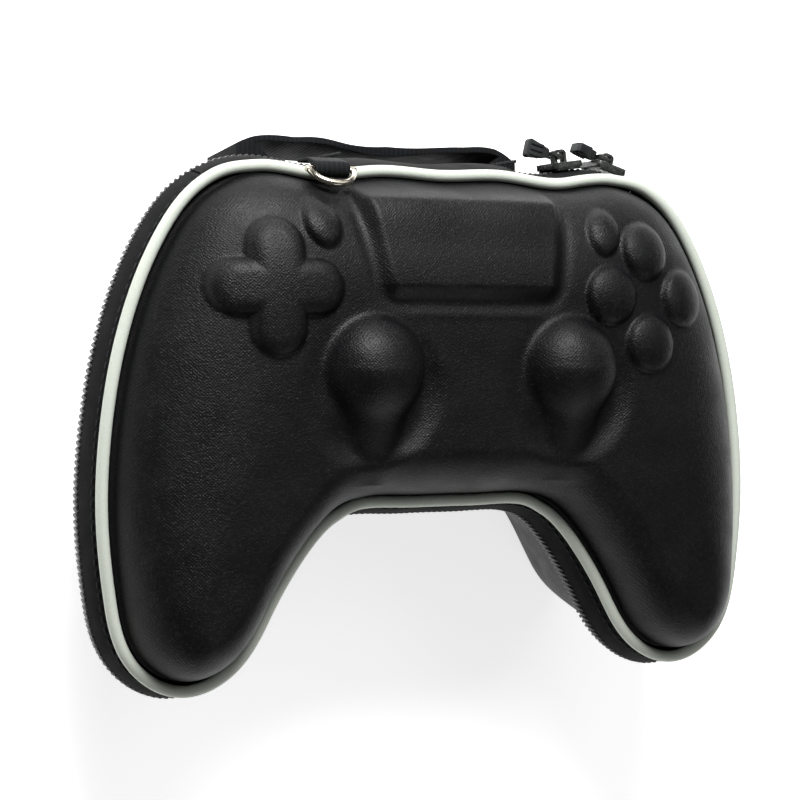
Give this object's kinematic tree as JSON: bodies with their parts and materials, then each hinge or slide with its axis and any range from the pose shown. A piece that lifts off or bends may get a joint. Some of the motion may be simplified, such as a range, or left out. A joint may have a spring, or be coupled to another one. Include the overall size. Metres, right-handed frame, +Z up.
{
  "type": "controller carrying case",
  "caption": "Zipped carrying case moulded over a twin-grip game controller, with a piped lid, webbing strap, D-ring and two zipper pulls.",
  "frame": {"origin": "centre of the flat of the back half on which the case rests, below the middle of its width", "axes": "+Z up through the lid, +X to the right as seen from the lid, +Y toward the hinge edge"},
  "size_m": [0.1836, 0.1392, 0.0839],
  "materials": {
    "laminate": "black woven fabric laminated on moulded foam, slight sheen",
    "piping_cord": "pale woven cover on a round cord",
    "tape": "black knitted zipper tape",
    "coil": "black nylon coil",
    "thread": "black sewing thread",
    "slider_metal": "black lacquered die-cast zinc",
    "grip_rubber": "matt moulded soft plastic",
    "webbing": "black woven webbing",
    "ring_metal": "pale nickel plate"
  },
  "bodies": {
    "base": {"rear_shell": "laminate", "rear_welt": "tape", "rear_tape": "tape", "rear_teeth": "coil", "front_tape_ends": "tape", "front_teeth_ends": "coil", "hinge_gusset": "tape", "gusset_tacks": "thread", "slider_inner": "slider_metal", "slider_outer": "slider_metal", "carry_strap": "webbing"},
    "lid": {"front_shell": "laminate", "front_piping": "piping_cord", "front_tape": "tape", "front_teeth": "coil", "d_ring_tab": "webbing"},
    "ring": {"d_ring": "ring_metal"},
    "inner_pull": {"link_inner": "slider_metal", "pull_inner": "grip_rubber"},
    "outer_pull": {"link_outer": "slider_metal", "pull_outer": "grip_rubber"}
  },
  "joints": [
    {"name": "lid_hinge", "type": "hinge", "parent": "base", "child": "lid", "pos_m": [0, 0.056, 0.0455], "axis": [-1, 0, 0], "range_deg": [0, 140], "deforming": ["hinge_gusset", "front_tape_ends"]},
    {"name": "ring_hinge", "type": "hinge", "parent": "lid", "child": "ring", "pos_m": [-0.0317, 0.05255, 0.0617], "axis": [-1, 0, 0], "range_deg": [0, 120]},
    {"name": "inner_pull_hinge", "type": "hinge", "parent": "base", "child": "inner_pull", "pos_m": [0.04109, 0.05951, 0.0455], "axis": [0, 0, -1], "range_deg": [0, 110]},
    {"name": "outer_pull_hinge", "type": "hinge", "parent": "base", "child": "outer_pull", "pos_m": [0.05538, 0.05903, 0.0455], "axis": [0, 0, -1], "range_deg": [0, 80]}
  ]
}
